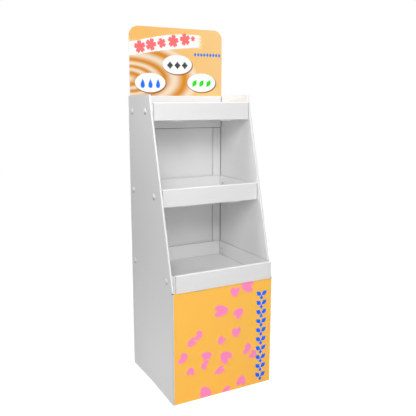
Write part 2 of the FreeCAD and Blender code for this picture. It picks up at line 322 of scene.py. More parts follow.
class BoardShaders:
    """Shader groups that the board and print materials share."""

    cloud_scale: float = 9.0
    fibre_scale: float = 620.0
    fibre_depth: float = 0.035
    flute_line_depth: float = 0.006
    patch_scale: float = 60.0

    def __init__(self) -> None:
        """Builds each group once."""
        self.coating = self._coating()
        self.cut_edge = self._cut_edge()
        self.ink_film = self._ink_film()
        self.crease = self._crease()
        self.head_shade = self._head_shade()

    @staticmethod
    def _group(name: str, takes: dict[str, str],
               gives: dict[str, str]) -> tuple[Wiring, Any, Any]:
        """Starts a group with named inputs and outputs.

        Args:
            name: Name of the group.
            takes: Socket type of each input, by name.
            gives: Socket type of each output, by name.

        Returns:
            The wiring of the new group, the sockets it is given and those of its result.
        """
        tree = bpy.data.node_groups.new(name, "ShaderNodeTree")
        for label, kind in takes.items():
            tree.interface.new_socket(label, in_out="INPUT", socket_type=kind)
        for label, kind in gives.items():
            tree.interface.new_socket(label, in_out="OUTPUT", socket_type=kind)
        wiring = Wiring(tree)
        return (wiring, wiring.add("NodeGroupInput").outputs,
                wiring.add("NodeGroupOutput").inputs)

    def _coating(self) -> bpy.types.NodeTree:
        """White coated face of the board, with faint cloudiness and flutes that show through."""
        wiring, given, result = self._group(
            "coated_face",
            {"Position": VECTOR_SOCKET, "Tint": COLOUR_SOCKET,
             "Flute Pitch": FLOAT_SOCKET, "Cloudiness": FLOAT_SOCKET},
            {"Color": COLOUR_SOCKET, "Roughness": FLOAT_SOCKET,
             "Height": FLOAT_SOCKET})
        x, y, _ = wiring.split(given["Position"])
        turns = wiring.math("DIVIDE", wiring.math("ADD", x, y), given["Flute Pitch"])
        flutes = wiring.math("SINE", wiring.math("MULTIPLY", turns, 2 * math.pi))
        cloud = wiring.noise(given["Position"], self.cloud_scale, 3.0)
        fibre = wiring.noise(given["Position"], self.fibre_scale, 3.0)
        drift = wiring.math("MULTIPLY", wiring.math("SUBTRACT", cloud, 0.5), given["Cloudiness"])
        speck = wiring.math("MULTIPLY", wiring.math("SUBTRACT", fibre, 0.5), self.fibre_depth)
        line = wiring.math("MULTIPLY", flutes, self.flute_line_depth)
        level = wiring.math("ADD", wiring.math("ADD", drift, speck), line)
        shade = wiring.add("ShaderNodeHueSaturation")
        wiring.feed(shade.inputs["Value"], wiring.math("ADD", level, 1.0))
        wiring.feed(shade.inputs["Color"], given["Tint"])
        wiring.feed(result["Color"], shade.outputs[0])
        wiring.feed(result["Roughness"], wiring.ramp(cloud, 0.3, 0.7, 0.52, 0.64))
        bumps = wiring.math("ADD", wiring.math("MULTIPLY", flutes, 0.7),
                            wiring.math("MULTIPLY", fibre, 0.5))
        wiring.feed(result["Height"], bumps)
        return wiring.tree

    def _cut_edge(self) -> bpy.types.NodeTree:
        """Raw cut edge of the board: two liners with the wavy medium between them, and painted
        shade in the flutes.
        """
        wiring, given, result = self._group(
            "cut_edge",
            {"Along": FLOAT_SOCKET, "Across": FLOAT_SOCKET,
             "Flute Pitch": FLOAT_SOCKET},
            {"Color": COLOUR_SOCKET, "Height": FLOAT_SOCKET})
        turns = wiring.math("DIVIDE", given["Along"], given["Flute Pitch"])
        swing = wiring.math("SINE", wiring.math("MULTIPLY", turns, 2 * math.pi))
        middle = wiring.math("MULTIPLY_ADD", swing, 0.34, 0.5)
        off_line = wiring.math("ABSOLUTE", wiring.math("SUBTRACT", given["Across"], middle))
        medium = wiring.ramp(off_line, 0.08, 0.15, 1.0, 0.0, smooth=True)
        off_middle = wiring.math("ABSOLUTE", wiring.math("SUBTRACT", given["Across"], 0.5))
        liner = wiring.ramp(off_middle, 0.39, 0.42, smooth=True)
        paper = wiring.math("MAXIMUM", medium, liner)
        colour = wiring.blend(medium, Ink.HOLLOW.rgba(), Ink.FLUTE.rgba())
        wiring.feed(result["Color"], wiring.blend(liner, colour, Ink.BOARD.rgba()))
        wiring.feed(result["Height"], paper)
        return wiring.tree

    def _crease(self) -> bpy.types.NodeTree:
        """Painted shade: a soft dark line along an inner corner, from the distances to its two
        faces.
        """
        wiring, given, result = self._group(
            "inner_crease",
            {"Past First": FLOAT_SOCKET, "Past Second": FLOAT_SOCKET,
             "Width": FLOAT_SOCKET},
            {"Shade": FLOAT_SOCKET})
        nearest = wiring.math("MINIMUM", given["Past First"], given["Past Second"])
        furthest = wiring.math("MAXIMUM", given["Past First"], given["Past Second"])
        away = wiring.math("DIVIDE", wiring.math("MULTIPLY", nearest, -1.0), given["Width"])
        inside = wiring.math("LESS_THAN", furthest, 0.4 * MM)
        line = wiring.ramp(away, 0.5, 1.0, 1.0, 0.0, smooth=True)
        wiring.feed(result["Shade"], wiring.all_of(inside, line))
        return wiring.tree

    def _head_shade(self) -> bpy.types.NodeTree:
        """Thin crescent of shade under a round head that lies on an upright side."""
        wiring, given, result = self._group(
            "head_shade",
            {"Forward": FLOAT_SOCKET, "Below": FLOAT_SOCKET,
             "Radius": FLOAT_SOCKET, "Width": FLOAT_SOCKET},
            {"Shade": FLOAT_SOCKET})
        forward, below = given["Forward"], given["Below"]
        away = wiring.length(forward, below)
        past = wiring.math("DIVIDE", wiring.math("SUBTRACT", away, given["Radius"]),
                           given["Width"])
        ring = wiring.ramp(past, 0.3, 1.0, 1.0, 0.0, smooth=True)
        lean = wiring.math("DIVIDE", wiring.math("MULTIPLY_ADD", forward, 0.3, below), away)
        wiring.feed(result["Shade"], wiring.all_of(ring, wiring.ramp(lean, 0.3, 0.9)))
        return wiring.tree

    def _ink_film(self) -> bpy.types.NodeTree:
        """Ink on paper: a colour with a little unevenness of its own."""
        wiring, given, result = self._group(
            "ink_film",
            {"Position": VECTOR_SOCKET, "Ink": COLOUR_SOCKET,
             "Unevenness": FLOAT_SOCKET},
            {"Color": COLOUR_SOCKET, "Roughness": FLOAT_SOCKET})
        patch = wiring.noise(given["Position"], self.patch_scale, 4.0)
        shift = wiring.math("MULTIPLY", wiring.math("SUBTRACT", patch, 0.5), given["Unevenness"])
        shade = wiring.add("ShaderNodeHueSaturation")
        wiring.feed(shade.inputs["Value"], wiring.math("ADD", shift, 1.0))
        wiring.feed(shade.inputs["Color"], given["Ink"])
        wiring.feed(result["Color"], shade.outputs[0])
        wiring.feed(result["Roughness"], wiring.ramp(patch, 0.3, 0.7, 0.40, 0.52))
        return wiring.tree


@dataclass(frozen=True)
class BoardFinish:
    """White coated board, with its sizes in metres."""

    shaders: BoardShaders
    flute_pitch: float = 8.8 * MM
    cloudiness: float = 0.02
    bump_depth: float = 0.05 * MM
    bump_strength: float = 0.35
    crease_width: float = 3.6 * MM
    crease_depth: float = 0.75
    gloss: float = 0.25

    def start(self, name: str) -> tuple[bpy.types.Material, Wiring, bpy.types.Node]:
        """Starts a material with its surface shader.

        Args:
            name: Name of the material.

        Returns:
            The material, its wiring and its surface shader.
        """
        material, wiring, surface = new_material(name)
        surface.inputs["Specular IOR Level"].default_value = self.gloss
        return material, wiring, surface

    def coated(self, wiring: Wiring, position: Socket) -> bpy.types.Node:
        """Adds the white face of the board.

        Args:
            wiring: Wiring of the material.
            position: Place on the stand.

        Returns:
            The group node.
        """
        return wiring.use(self.shaders.coating, {
            "Position": position, "Tint": Ink.BOARD.rgba(),
            "Flute Pitch": self.flute_pitch, "Cloudiness": self.cloudiness})

    def raw_edge(self, wiring: Wiring, along: Socket, from_face: Socket,
                 board: float, gap: float) -> bpy.types.Node:
        """Adds the look of a cut edge of one or two plies.

        Args:
            wiring: Wiring of the material.
            along: Distance along the edge.
            from_face: Distance from the outer face of the board.
            board: Thickness of one ply.
            gap: Gap between two plies.

        Returns:
            The group node.
        """
        step = wiring.math("FRACT", wiring.math("DIVIDE", from_face, board + gap))
        across = wiring.math("MULTIPLY", step, (board + gap) / board)
        return wiring.use(self.shaders.cut_edge, {
            "Along": along, "Across": across, "Flute Pitch": self.flute_pitch})

    def creased(self, wiring: Wiring, past_first: Socket, past_second: Socket) -> Socket:
        """Adds the shade of one inner corner.

        Args:
            wiring: Wiring of the material.
            past_first: Distance past the corner's first face.
            past_second: Distance past the corner's second face.

        Returns:
            The socket of the shade, 1 in the corner.
        """
        crease = wiring.use(self.shaders.crease, {
            "Past First": past_first, "Past Second": past_second, "Width": self.crease_width})
        return wiring.math("MULTIPLY", crease.outputs["Shade"], self.crease_depth)

    @staticmethod
    def thin_film(wiring: Wiring, cover: Socket, surface: bpy.types.Node) -> None:
        """Lets a print cover what lies under it in part, and cast no shadow there.

        Args:
            wiring: Wiring of the material.
            cover: How much the print covers, from 0 to 1.
            surface: Surface shader of the material.
        """
        shadow_ray = wiring.add("ShaderNodeLightPath").outputs["Is Shadow Ray"]
        lit = wiring.math("SUBTRACT", 1.0, shadow_ray)
        wiring.feed(surface.inputs["Alpha"], wiring.math("MULTIPLY", cover, lit))

    def relief(self, wiring: Wiring, height: Socket, surface: bpy.types.Node) -> None:
        """Gives the surface its fine relief."""
        bump = wiring.add("ShaderNodeBump")
        bump.inputs["Strength"].default_value = self.bump_strength
        bump.inputs["Distance"].default_value = self.bump_depth
        wiring.feed(bump.inputs["Height"], height)
        wiring.feed(surface.inputs["Normal"], bump.outputs[0])


@dataclass(frozen=True)
class InkFinish:
    """One printed colour."""

    shaders: BoardShaders
    ink: Ink
    unevenness: float = 0.012
    brightness: float = 0.12

    def film(self, wiring: Wiring, position: Socket, colour: Any = None) -> bpy.types.Node:
        """Adds the ink's film to a material.

        Args:
            wiring: Wiring of the material.
            position: Place on the stand.
            colour: Colour that takes the place of the plain ink.

        Returns:
            The group node.
        """
        return wiring.use(self.shaders.ink_film, {
            "Position": position, "Unevenness": self.unevenness,
            "Ink": colour if colour is not None else self.ink.rgba()})

    def material(self, name: str, ground: Ink | None = None) -> bpy.types.Material:
        """The ink as a material of its own, for a printed shape.

        Args:
            name: Name of the material.
            ground: Ink that this one fades into on the shape's rim, if it has a soft rim.

        Returns:
            The material.
        """
        material, wiring, surface = BoardFinish(self.shaders).start(name)
        colour = None
        if ground is not None:
            cover = wiring.add("ShaderNodeAttribute", attribute_name="cover").outputs["Fac"]
            colour = wiring.blend(wiring.ramp(cover, 0.0, 1.0, smooth=True), ground.rgba(),
                                  self.ink.rgba())
        film = self.film(wiring, wiring.position(), colour)
        wiring.feed(surface.inputs["Base Color"], film.outputs["Color"])
        wiring.feed(surface.inputs["Roughness"], film.outputs["Roughness"])
        # painted light: the ink glows a little
        self.brighten(surface, wiring, film.outputs["Color"])
        return material

    def brighten(self, surface: bpy.types.Node, wiring: Wiring, colour: Socket) -> None:
        """Makes the ink glow a little: painted light that brightens the print.

        Args:
            surface: Surface shader of the material.
            wiring: Wiring of the material.
            colour: Colour of the ink, black where there is none.
        """
        wiring.feed(surface.inputs["Emission Color"], colour)
        surface.inputs["Emission Strength"].default_value = self.brightness


@dataclass(frozen=True)
class RivetFinish:
    """White moulded plastic of the push rivets."""

    grain_scale: float = 900.0
    under_shade: float = 0.45

    def material(self) -> bpy.types.Material:
        """The plastic with a fine moulded grain, painted shade below and in the sockets' dimples.
        """
        material, wiring, surface = new_material("rivet_white")
        grain = wiring.noise(wiring.position(), self.grain_scale)
        hollow = wiring.add("ShaderNodeAttribute", attribute_name="hollow").outputs["Fac"]
        plastic = wiring.blend(wiring.ramp(grain, 0.35, 0.65, 0.0, 0.12),
                               Ink.RIVET.rgba(), Ink.FLUTE.rgba())
        _, _, rise = wiring.split(wiring.normal())
        # painted shade: darker where the surface faces down, and in the dimples
        under = wiring.ramp(rise, -0.04, -0.4, 0.0, self.under_shade)
        shade = wiring.math("MAXIMUM", under, hollow)
        wiring.feed(surface.inputs["Base Color"],
                    wiring.blend(shade, plastic, Ink.CREASE.rgba()))
        wiring.feed(surface.inputs["Roughness"], wiring.ramp(grain, 0.3, 0.7, 0.3, 0.38))
        return material


@dataclass(frozen=True)
class Stamp:
    """One printed motif on a panel, in millimetres and degrees."""

    across: float
    height: float
    length: float
    breadth: float
    turn: float


class MotifShapes:
    """Outlines of the printed motifs, one unit long, as (across, up) points."""

    @staticmethod
    def petal(steps: int = 48, notch: float = 0.62, notch_breadth: float = 0.36) -> list[Point]:
        """Blossom petal: narrow at the left, with a notch in its round right-hand end."""
        points = []
        for step in range(steps):
            angle = 2 * math.pi * (step + 0.5) / steps - math.pi
            dent = 1 - notch * math.exp(-(angle / notch_breadth) ** 2)
            broad = 0.47 * (1 + 0.25 * math.cos(angle))
            points.append((0.5 * math.cos(angle) * dent, broad * math.sin(angle) * dent))
        return points

    @staticmethod
    def curled_petal(steps: int = 40) -> list[Point]:
        """Petal seen from the side: a bean, hollow below and broader at the left."""
        points = []
        for step in range(steps):
            angle = 2 * math.pi * (step + 0.5) / steps - math.pi
            dent = 1 - 0.62 * math.exp(-((angle + 1.35) / 0.5) ** 2)
            broad = 0.5 * (1 - 0.18 * math.cos(angle))
            points.append((0.5 * math.cos(angle) * dent, broad * math.sin(angle) * dent))
        return points

    @staticmethod
    def blossom(steps: int = 60) -> list[Point]:
        """Five-petalled blossom with a notch in each petal."""
        points = []
        for step in range(steps):
            angle = 2 * math.pi * step / steps
            lobe = abs(math.cos(2.5 * angle))
            notch = 0.10 * max(0.0, 1 - (abs(math.sin(2.5 * angle)) / 0.28) ** 2)
            radius = 0.24 + 0.26 * lobe ** 0.55 - notch
            points.append((radius * math.sin(angle), radius * math.cos(angle)))
        return points

    @staticmethod
    def drop(steps: int = 28) -> list[Point]:
        """Water drop that points up."""
        points = []
        for step in range(steps):
            angle = 2 * math.pi * step / steps
            pinch = math.sin(angle / 2) ** 1.4
            points.append((-0.46 * math.sin(angle) * pinch, 0.5 * math.cos(angle)))
        return points

    @staticmethod
    def leaf(steps: int = 12) -> list[Point]:
        """Pointed leaf that lies across."""
        upper = [(step / steps - 0.5, 0.5 * math.sin(math.pi * step / steps) ** 1.2)
                 for step in range(steps + 1)]
        return upper + [(x, -z) for x, z in reversed(upper[1:-1])]

    @staticmethod
    def sparkle(steps: int = 32) -> list[Point]:
        """Four-pointed sparkle with hollow sides."""
        points = []
        for step in range(steps):
            angle = 2 * math.pi * step / steps
            points.append((0.5 * math.copysign(abs(math.cos(angle)) ** 2.2, math.cos(angle)),
                           0.5 * math.copysign(abs(math.sin(angle)) ** 2.2, math.sin(angle))))
        return points

    @staticmethod
    def lozenge() -> list[Point]:
        """Upright lozenge."""
        return [(0.0, 0.5), (-0.5, 0.0), (0.0, -0.5), (0.5, 0.0)]


def new_piece(name: str, mesh: bpy.types.Mesh) -> bpy.types.Object:
    """Puts a mesh into the scene as an object.

    Args:
        name: Name of the piece.
        mesh: Its mesh, with its place in it.

    Returns:
        The object.
    """
    piece = bpy.data.objects.new(name, mesh)
    bpy.context.scene.collection.objects.link(piece)
    return piece


def finished_mesh(name: str, shape: bmesh.types.BMesh) -> bpy.types.Mesh:
    """Turns a working shape into a mesh.

    Args:
        name: Name of the mesh.
        shape: The working shape, which is freed.

    Returns:
        The mesh.
    """
    mesh = bpy.data.meshes.new(name)
    shape.to_mesh(mesh)
    shape.free()
    return mesh


def flat_mesh(name: str, outline: list[Point], y: float = 0.0) -> bpy.types.Mesh:
    """One flat face in the upright plane that faces forward.

    Args:
        name: Name of the mesh.
        outline: (across, up) points round the shape.
        y: Depth of the plane.

    Returns:
        The mesh, facing -Y.
    """
    shape = bmesh.new()
    face = shape.faces.new([shape.verts.new((x, y, z)) for x, z in outline])
    face.normal_update()
    if face.normal.y > 0:
        bmesh.ops.reverse_faces(shape, faces=[face])
    bmesh.ops.triangulate(shape, faces=shape.faces[:])
    return finished_mesh(name, shape)


def soft_mesh(name: str, outline: list[Point], softness: float) -> bpy.types.Mesh:
    """Flat shape that faces forward, with a rim on which its cover fades from 1 to 0.

    Args:
        name: Name of the mesh.
        outline: (across, up) points anticlockwise round the shape, which all see its middle.
        softness: How far the rim reaches in and out, as a share of the shape.

    Returns:
        The mesh, with the cover as an attribute of its points.
    """
    shape = bmesh.new()
    cover = shape.verts.layers.float.new("cover")
    rings = []
    for share in (1 - softness, 1 + softness):
        rings.append([shape.verts.new((x * share, 0, z * share)) for x, z in outline])
    inner, outer = rings
    for point in inner:
        point[cover] = 1.0
    shape.faces.new(inner)
    for place in range(len(inner)):
        shape.faces.new((inner[place - 1], outer[place - 1], outer[place], inner[place]))
    for face in shape.faces:
        face.normal_update()
    bmesh.ops.triangulate(shape, faces=shape.faces[:])
    return finished_mesh(name, shape)


class Stamper:
    """Repeats one shape at many places with a geometry tree."""

    def __init__(self) -> None:
        """Builds the tree once."""
        self.tree = self._tree()

    @staticmethod
    def _tree() -> bpy.types.NodeTree:
        """Tree that puts a motif at each point, turned and sized by the point's own values."""
        tree = bpy.data.node_groups.new("repeat_motif", "GeometryNodeTree")
        takes = {"Places": "NodeSocketGeometry", "Motif": "NodeSocketObject",
                 "Overall Size": FLOAT_SOCKET, "Turn Variation": FLOAT_SOCKET,
                 "Seed": "NodeSocketInt", "Finish": "NodeSocketMaterial"}
        for label, kind in takes.items():
            tree.interface.new_socket(label, in_out="INPUT", socket_type=kind)
        tree.interface.new_socket("Motifs", in_out="OUTPUT", socket_type="NodeSocketGeometry")
        wiring = Wiring(tree)
        given = wiring.add("NodeGroupInput").outputs
        motif = wiring.add("GeometryNodeObjectInfo", transform_space="ORIGINAL")
        wiring.feed(motif.inputs["Object"], given["Motif"])
        motif.inputs["As Instance"].default_value = True
        turn = wiring.add("GeometryNodeInputNamedAttribute", data_type="FLOAT_VECTOR")
        turn.inputs["Name"].default_value = "turn"
        stretch = wiring.add("GeometryNodeInputNamedAttribute", data_type="FLOAT_VECTOR")
        stretch.inputs["Name"].default_value = "stretch"
        wobble = wiring.add("FunctionNodeRandomValue", data_type="FLOAT")
        wiring.feed(wobble.inputs[2], wiring.math("MULTIPLY", given["Turn Variation"], -1.0))
        wiring.feed(wobble.inputs[3], given["Turn Variation"])
        wiring.feed(wobble.inputs["Seed"], given["Seed"])
        lean = wiring.add("ShaderNodeCombineXYZ")
        wiring.feed(lean.inputs["Y"], wobble.outputs[1])
        turned = wiring.add("ShaderNodeVectorMath", operation="ADD")
        wiring.feed(turned.inputs[0], turn.outputs["Attribute"])
        wiring.feed(turned.inputs[1], lean.outputs[0])
        rotation = wiring.add("FunctionNodeEulerToRotation")
        wiring.feed(rotation.inputs[0], turned.outputs[0])
        sized = wiring.add("ShaderNodeVectorMath", operation="SCALE")
        wiring.feed(sized.inputs[0], stretch.outputs["Attribute"])
        wiring.feed(sized.inputs["Scale"], given["Overall Size"])
        placed = wiring.add("GeometryNodeInstanceOnPoints")
        wiring.feed(placed.inputs["Points"], given["Places"])
        wiring.feed(placed.inputs["Instance"], motif.outputs["Geometry"])
        wiring.feed(placed.inputs["Rotation"], rotation.outputs[0])
        wiring.feed(placed.inputs["Scale"], sized.outputs[0])
        real = wiring.add("GeometryNodeRealizeInstances")
        wiring.feed(real.inputs[0], placed.outputs[0])
        finish = wiring.add("GeometryNodeSetMaterial")
        wiring.feed(finish.inputs["Geometry"], real.outputs[0])
        wiring.feed(finish.inputs["Material"], given["Finish"])
        wiring.feed(wiring.add("NodeGroupOutput").inputs[0], finish.outputs[0])
        return tree

    def repeat(self, name: str, motif: bpy.types.Mesh, places: list[Vector],
               turns: list[Vector], stretches: list[Vector], finish: bpy.types.Material,
               variation: float = 0.0, seed: int = 11) -> bpy.types.Object:
        """Makes one plain mesh of a motif at every place.

        Args:
            name: Name of the piece.
            motif: Mesh of the motif, round the origin.
            places: Where each copy goes.
            turns: Turn of each copy about X, Y and Z, in radians.
            stretches: Size of each copy along X, Y and Z.
            finish: Material of the piece.
            variation: Greatest extra turn in the panel's plane, in radians.
            seed: Seed of that extra turn.

        Returns:
            The piece, as a plain mesh.
        """
        points = bpy.data.meshes.new(name + "_places")
        points.from_pydata(places, [], [])
        for label, vectors in (("turn", turns), ("stretch", stretches)):
            layer = points.attributes.new(label, "FLOAT_VECTOR", "POINT")
            layer.data.foreach_set("vector", [part for vector in vectors for part in vector])
        holder = new_piece(name + "_motif", motif)
        piece = new_piece(name, points)
        modifier = piece.modifiers.new("repeat", "NODES")
        modifier.node_group = self.tree
        values = {"Motif": holder, "Overall Size": 1.0, "Turn Variation": variation,
                  "Seed": seed, "Finish": finish}
        for socket in self.tree.interface.items_tree:
            if socket.in_out == "INPUT" and socket.name in values:
                modifier[socket.identifier] = values[socket.name]
        graph = bpy.context.evaluated_depsgraph_get()
        graph.update()
        mesh = bpy.data.meshes.new_from_object(piece.evaluated_get(graph))
        piece.modifiers.remove(modifier)
        piece.data = mesh
        bpy.data.objects.remove(holder)
        return piece


@dataclass
class PanelPrint:
    """A printed panel that stamped motifs lie on, with its limits in metres."""

    stamper: Stamper
    plane: float
    low: Point
    high: Point
    slot: str
    film: float = 0.12 * MM
    layer: int = 0

    def stamps(self, name: str, outline: list[Point], stamps: list[Stamp],
               finish: bpy.types.Material, softness: float = 0.0) -> bpy.types.Object:
        """Prints one motif at many places on the panel, cut off at its edges.

        Args:
            name: Name of the piece.
            outline: The motif, one unit long.
            stamps: Place, size and turn of each copy.
            finish: The ink.
            softness: Reach of the soft rim as a share of the motif, 0 for a sharp edge.

        Returns:
            The printed piece.
        """
        self.layer += 1
        y = self.plane - self.film * self.layer
        places = [Vector((s.across * MM, y, s.height * MM)) for s in stamps]
        turns = [Vector((0, -math.radians(s.turn), 0)) for s in stamps]
        stretches = [Vector((s.length * MM, 1, s.breadth * MM)) for s in stamps]
        motif = soft_mesh(name, outline, softness) if softness else flat_mesh(name, outline)
        piece = self.stamper.repeat(name, motif, places, turns, stretches, finish)
        self._trim(piece.data)
        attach(piece, ROOT)
        LOG.info("%s: %d motifs", name, len(stamps))
        return piece

    def _trim(self, mesh: bpy.types.Mesh) -> None:
        """Cuts off what would lie past the panel's edges."""
        shape = bmesh.new()
        shape.from_mesh(mesh)
        cuts = [((self.low[0], 0, 0), (-1, 0, 0)), ((self.high[0], 0, 0), (1, 0, 0)),
                ((0, 0, self.low[1]), (0, 0, -1)), ((0, 0, self.high[1]), (0, 0, 1))]
        for place, outward in cuts:
            everything = shape.verts[:] + shape.edges[:] + shape.faces[:]
            bmesh.ops.bisect_plane(shape, geom=everything, plane_co=place, plane_no=outward,
                                   clear_outer=True)
        shape.to_mesh(mesh)
        shape.free()


@dataclass
class BodyDressing:
    """White folded body with its printed front panel."""

    sizes: StandSizes
    shaders: BoardShaders
    stamper: Stamper
    print_margin: float = 5.5 * MM
    print_right_margin: float = 3.5 * MM
    print_foot: float = 1.5 * MM
    front_reach: float = 3 * MM
    edge_slack: float = 0.3 * MM
    petal_softness: float = 0.15
    flange_depth: float = 8.3 * MM
    flange_width: float = 40 * MM
    flange_end_shade: float = 0.6
    strip_depth: float = 11.6 * MM
    strip_height: float = 138 * MM
    fold_hole_radius: float = 2.5 * MM
    head_shade_width: float = 4.5 * MM
    head_shade_depth: float = 0.6

    petals: tuple[Stamp, ...] = (
        Stamp(-15, 350, 70, 50, 176),
        Stamp(66, 326, 52, 44, 216),
        Stamp(57, 249, 46, 42, 84),
        Stamp(-143, 245, 46, 34, 30),
        Stamp(-11, 227, 40, 34, 48),
        Stamp(-80, 172, 48, 46, 200),
        Stamp(10, 150, 60, 54, 318),
        Stamp(-17, 101, 52, 30, 24),
        Stamp(-149, 124, 36, 36, 262),
        Stamp(84, 29, 50, 44, 258),
        Stamp(-84, 18, 62, 52, 290),
        Stamp(14, 2, 54, 40, 20),
        Stamp(49, 420, 44, 42, 84),
        Stamp(110, 434, 64, 54, 350),
    )
    curled: tuple[Stamp, ...] = (
        Stamp(-116, 267, 42, 34, 232),
        Stamp(-184, 187, 48, 36, 226),
        Stamp(-84, 140, 44, 30, 56),
        Stamp(108, 165, 50, 36, 236),
        Stamp(136, 136, 38, 34, 220),
    )
    vine_across: float = 176.0
    vine_low: float = 14.0
    vine_high: float = 408.0
    vine_units: int = 10

    def dress(self) -> None:
        """Gives the body its material and prints the front panel."""
        dress_node("body_sleeve", self._material())
        panel = PanelPrint(
            self.stamper, self.sizes.front,
            (-self.sizes.half_width + self.print_margin, self.print_foot),
            (self.sizes.half_width - self.print_right_margin,
             self.sizes.panel_top - self.edge_slack),
            "body_board")
        pink = InkFinish(self.shaders, Ink.PETAL_PINK).material(
            "petal_pink", ground=Ink.PANEL_ORANGE)
        panel.stamps("printed_petals", MotifShapes.petal(), list(self.petals), pink,
                     self.petal_softness)
        panel.stamps("printed_curled_petals", MotifShapes.curled_petal(), list(self.curled),
                     pink, self.petal_softness)
        self._vine(panel)

    def _vine(self, panel: PanelPrint) -> None:
        """Prints an upright vine of lozenges and leaves near the right-hand edge."""
        blue = InkFinish(self.shaders, Ink.BLUE).material("vine_blue")
        pitch = (self.vine_high - self.vine_low) / self.vine_units
        leaves = []
        lozenges = []
        for unit in range(self.vine_units):
            height = self.vine_low + pitch * (unit + 0.5)
            for side in (-1, 1):
                leaves.append(Stamp(self.vine_across + side * 13, height + 4, 30, 19,
                                    90 - side * 52))
            lozenges.append(Stamp(self.vine_across, height - pitch * 0.36, 17, 20, 0))
        panel.stamps("printed_vine_leaves", MotifShapes.leaf(), leaves, blue)
        panel.stamps("printed_vine_lozenges", MotifShapes.lozenge(), lozenges, blue)

    def _material(self) -> bpy.types.Material:
        """White board with orange on the front panel, flutes on every cut edge and painted shade.
        """
        finish = BoardFinish(self.shaders)
        material, wiring, surface = finish.start("body_white_board")
        position = wiring.position()
        x, y, z = wiring.split(position)
        sideways, facing, rise = wiring.split(wiring.normal())
        off_middle = wiring.math("ABSOLUTE", x)
        coated = finish.coated(wiring, position)

        printed = wiring.all_of(
            wiring.math("LESS_THAN", facing, -0.5),
            wiring.math("LESS_THAN", y, self.sizes.front + self.front_reach),
            wiring.math("LESS_THAN", z, self.sizes.panel_top + self.edge_slack),
            wiring.math("GREATER_THAN", x, -self.sizes.half_width + self.print_margin))
        ink = InkFinish(self.shaders, Ink.PANEL_ORANGE)
        film = ink.film(wiring, position)

        depth = wiring.math("SUBTRACT", self.sizes.back, y)
        from_front = wiring.math("SUBTRACT", y, self.sizes.front)
        from_side = wiring.math("SUBTRACT", self.sizes.half_width, off_middle)
        from_face = wiring.math("MINIMUM", from_side, wiring.math("MINIMUM", depth, from_front))
        board, gap = self.sizes.body_board, self.sizes.ply_gap
        raw = finish.raw_edge(wiring, wiring.math("ADD", x, y), from_face, board, gap)
        on_fold = wiring.all_of(
            wiring.math("GREATER_THAN", z, self.sizes.top - self.edge_slack),
            wiring.math("LESS_THAN", off_middle, self.sizes.half_width - 2 * (board + gap)))
        level = wiring.math("GREATER_THAN", wiring.math("ABSOLUTE", rise), 0.9)
        cut = wiring.all_of(level, wiring.math("SUBTRACT", 1.0, on_fold))

        on_fold_strip = wiring.all_of(
            wiring.math("LESS_THAN", y, self.sizes.front + self.front_reach),
            wiring.math("LESS_THAN", z, self.sizes.panel_top),
            wiring.math("SUBTRACT", 1.0, printed))
        plain = wiring.blend(on_fold_strip, coated.outputs["Color"], Ink.SCORED.rgba())
        colour = wiring.blend(printed, plain, film.outputs["Color"])
        colour = wiring.blend(cut, colour, raw.outputs["Color"])
        # painted shade: the inner ends of the rear flanges are darkened in the colour
        on_flange_end = wiring.all_of(
            wiring.math("GREATER_THAN", wiring.math("ABSOLUTE", sideways), 0.9),
            wiring.math("LESS_THAN", off_middle,
                        self.sizes.half_width - 2 * board - self.flange_width / 2),
            wiring.math("LESS_THAN", depth, self.flange_depth + self.edge_slack),
            self.flange_end_shade)
        shade = wiring.math("MAXIMUM", on_flange_end,
                            self._creases(wiring, finish, off_middle, y, z))
        shade = wiring.math("MAXIMUM", shade, self._under_heads(wiring, off_middle, y, z))
        # painted shade from the corners, flange ends and rivet heads goes into the colour here
        wiring.feed(surface.inputs["Base Color"],
                    wiring.blend(shade, colour, Ink.CREASE.rgba()))
        # painted light: the printed orange glows a little
        ink.brighten(surface, wiring, wiring.blend(printed, NO_LIGHT,
                                                   film.outputs["Color"]))
        inked = wiring.math("SUBTRACT", film.outputs["Roughness"], coated.outputs["Roughness"])
        wiring.feed(surface.inputs["Roughness"], wiring.math(
            "MULTIPLY_ADD", inked, printed, coated.outputs["Roughness"]))
        finish.relief(wiring, coated.outputs["Height"], surface)
        return material

    def _under_heads(self, wiring: Wiring, off_middle: Socket, y: Socket,
                     z: Socket) -> Socket:
        """Shade on the outer sides round the lower front of each rivet's head.

        Args:
            wiring: Wiring of the material.
            off_middle: Distance from the middle of the width.
            y: Depth.
            z: Height.

        Returns:
            The socket of the shade.
        """
        shade = 0.0
        for name in sorted(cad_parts):
            if not (name.startswith("rivet_button") and name.endswith("left")):
                continue
            low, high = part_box(name)
            head = wiring.use(self.shaders.head_shade, {
                "Forward": wiring.math("SUBTRACT", (low.y + high.y) / 2, y),
                "Below": wiring.math("SUBTRACT", (low.z + high.z) / 2, z),
                "Radius": (high.z - low.z) / 2, "Width": self.head_shade_width})
            shade = wiring.math("MAXIMUM", shade, head.outputs["Shade"])
        outside = wiring.math("GREATER_THAN", off_middle,
                              self.sizes.half_width - self.sizes.body_board / 2)
        return wiring.all_of(shade, outside, self.head_shade_depth)

